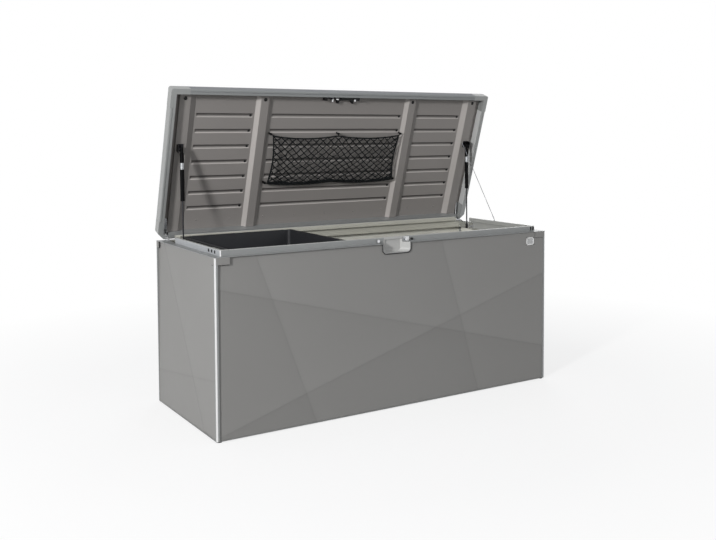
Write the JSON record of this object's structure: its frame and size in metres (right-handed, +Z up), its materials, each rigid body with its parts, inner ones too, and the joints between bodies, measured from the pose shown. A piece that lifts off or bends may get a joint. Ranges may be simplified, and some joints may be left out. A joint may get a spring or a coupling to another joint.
{
  "type": "garden storage box",
  "caption": "Large sheet-steel garden storage box with creased panels, a hinged lid held open by gas springs, a sliding tray, a lid net and a slide latch.",
  "frame": {"origin": "on the ground under the middle of the body, on the underside of the middle floor channel", "axes": "+X along the box to the right of someone facing its front, +Y from front to back, +Z up"},
  "size_m": [2.001, 0.8542, 1.6732],
  "materials": {
    "black_paint": "gloss",
    "black_plastic": "matte",
    "black_rubber": "matte",
    "body_panel": "satin",
    "bright_steel": "satin",
    "cable_steel": "satin",
    "floor_metal": "satin",
    "frame_metal": "satin",
    "grey_plastic": "matte",
    "lid_metal": "satin",
    "net_fabric": "woven",
    "rim_metal": "satin",
    "tray_plastic": "matte"
  },
  "bodies": {
    "box": {"badge_plate": "bright_steel", "base_rails": "frame_metal", "body_corner_caps": "grey_plastic", "feet": "black_rubber", "floor_channel_left": "floor_metal", "floor_channel_middle": "floor_metal", "floor_channel_right": "floor_metal", "floor_panel": "floor_metal", "front_panel": "body_panel", "grip_cup": "grey_plastic", "hinge_pins": "bright_steel", "hinge_plate_left": "bright_steel", "hinge_plate_right": "bright_steel", "left_panel": "body_panel", "lid_buffer": "black_rubber", "post_front_left": "frame_metal", "post_front_right": "frame_metal", "post_rear_left": "frame_metal", "post_rear_right": "frame_metal", "rear_panel": "body_panel", "right_panel": "body_panel", "rim_corner_left": "grey_plastic", "rim_corner_right": "grey_plastic", "rim_front_left": "rim_metal", "rim_front_right": "rim_metal", "rim_left": "rim_metal", "rim_rear": "rim_metal", "rim_right": "rim_metal", "spring_brackets_lower": "bright_steel", "stay_anchor_lower": "bright_steel", "stay_cable": "cable_steel", "strike_left": "bright_steel", "strike_right": "bright_steel"},
    "lid": {"hinge_arm_left": "bright_steel", "hinge_arm_right": "bright_steel", "latch_guides": "black_plastic", "lid_brace_left": "lid_metal", "lid_brace_right": "lid_metal", "lid_corner_front_left": "grey_plastic", "lid_corner_front_right": "grey_plastic", "lid_corner_rear_left": "grey_plastic", "lid_corner_rear_right": "grey_plastic", "lid_rail_front": "frame_metal", "lid_rail_left": "frame_metal", "lid_rail_rear": "frame_metal", "lid_rail_right": "frame_metal", "lid_screws": "black_plastic", "lid_sheet": "lid_metal", "lid_stiffener_left": "lid_metal", "lid_stiffener_right": "lid_metal", "net": "net_fabric", "net_hooks": "black_plastic", "spring_brackets_upper": "bright_steel", "stay_anchor_upper": "bright_steel"},
    "latch": {"latch_slider": "bright_steel"},
    "tray": {"tray": "tray_plastic"},
    "spring_rod_left": {"spring_rod_left": "bright_steel"},
    "spring_rod_right": {"spring_rod_right": "bright_steel"},
    "spring_cylinder_left": {"spring_cylinder_left": "black_paint"},
    "spring_cylinder_right": {"spring_cylinder_right": "black_paint"}
  },
  "joints": [
    {"name": "lid_hinge", "type": "hinge", "parent": "box", "child": "lid", "pos_m": [0, 0.405, 0.885], "axis": [1, 0, 0], "range_deg": [0, 71.5], "stiffness_Nm_per_rad": 34, "springref_deg": -80.21, "deforming": ["stay_cable"]},
    {"name": "spring_turn_left", "type": "hinge", "parent": "box", "child": "spring_rod_left", "pos_m": [-0.915, 0.235, 0.838], "axis": [1, 0, 0], "range_deg": [0, 83.82]},
    {"name": "spring_turn_right", "type": "hinge", "parent": "box", "child": "spring_rod_right", "pos_m": [0.915, 0.235, 0.838], "axis": [1, 0, 0], "range_deg": [0, 83.82]},
    {"name": "spring_slide_left", "type": "slide", "parent": "spring_rod_left", "child": "spring_cylinder_left", "axis": [0, -0.0086, -1], "range_m": [0, 0.18638]},
    {"name": "spring_slide_right", "type": "slide", "parent": "spring_rod_right", "child": "spring_cylinder_right", "axis": [0, -0.0086, -1], "range_m": [0, 0.18638]},
    {"name": "tray_slide", "type": "slide", "parent": "box", "child": "tray", "axis": [1, 0, 0], "range_m": [0, 1.138]},
    {"name": "latch_slide", "type": "slide", "parent": "lid", "child": "latch", "axis": [-1, 0, 0], "range_m": [0, 0.014]}
  ],
  "couplings": [
    {"joint": "spring_turn_left", "follows": "lid_hinge", "ratio": 1.1723},
    {"joint": "spring_turn_right", "follows": "lid_hinge", "ratio": 1.1723},
    {"joint": "spring_slide_left", "follows": "lid_hinge", "m_per_rad": 0.14934},
    {"joint": "spring_slide_right", "follows": "lid_hinge", "m_per_rad": 0.14934}
  ]
}
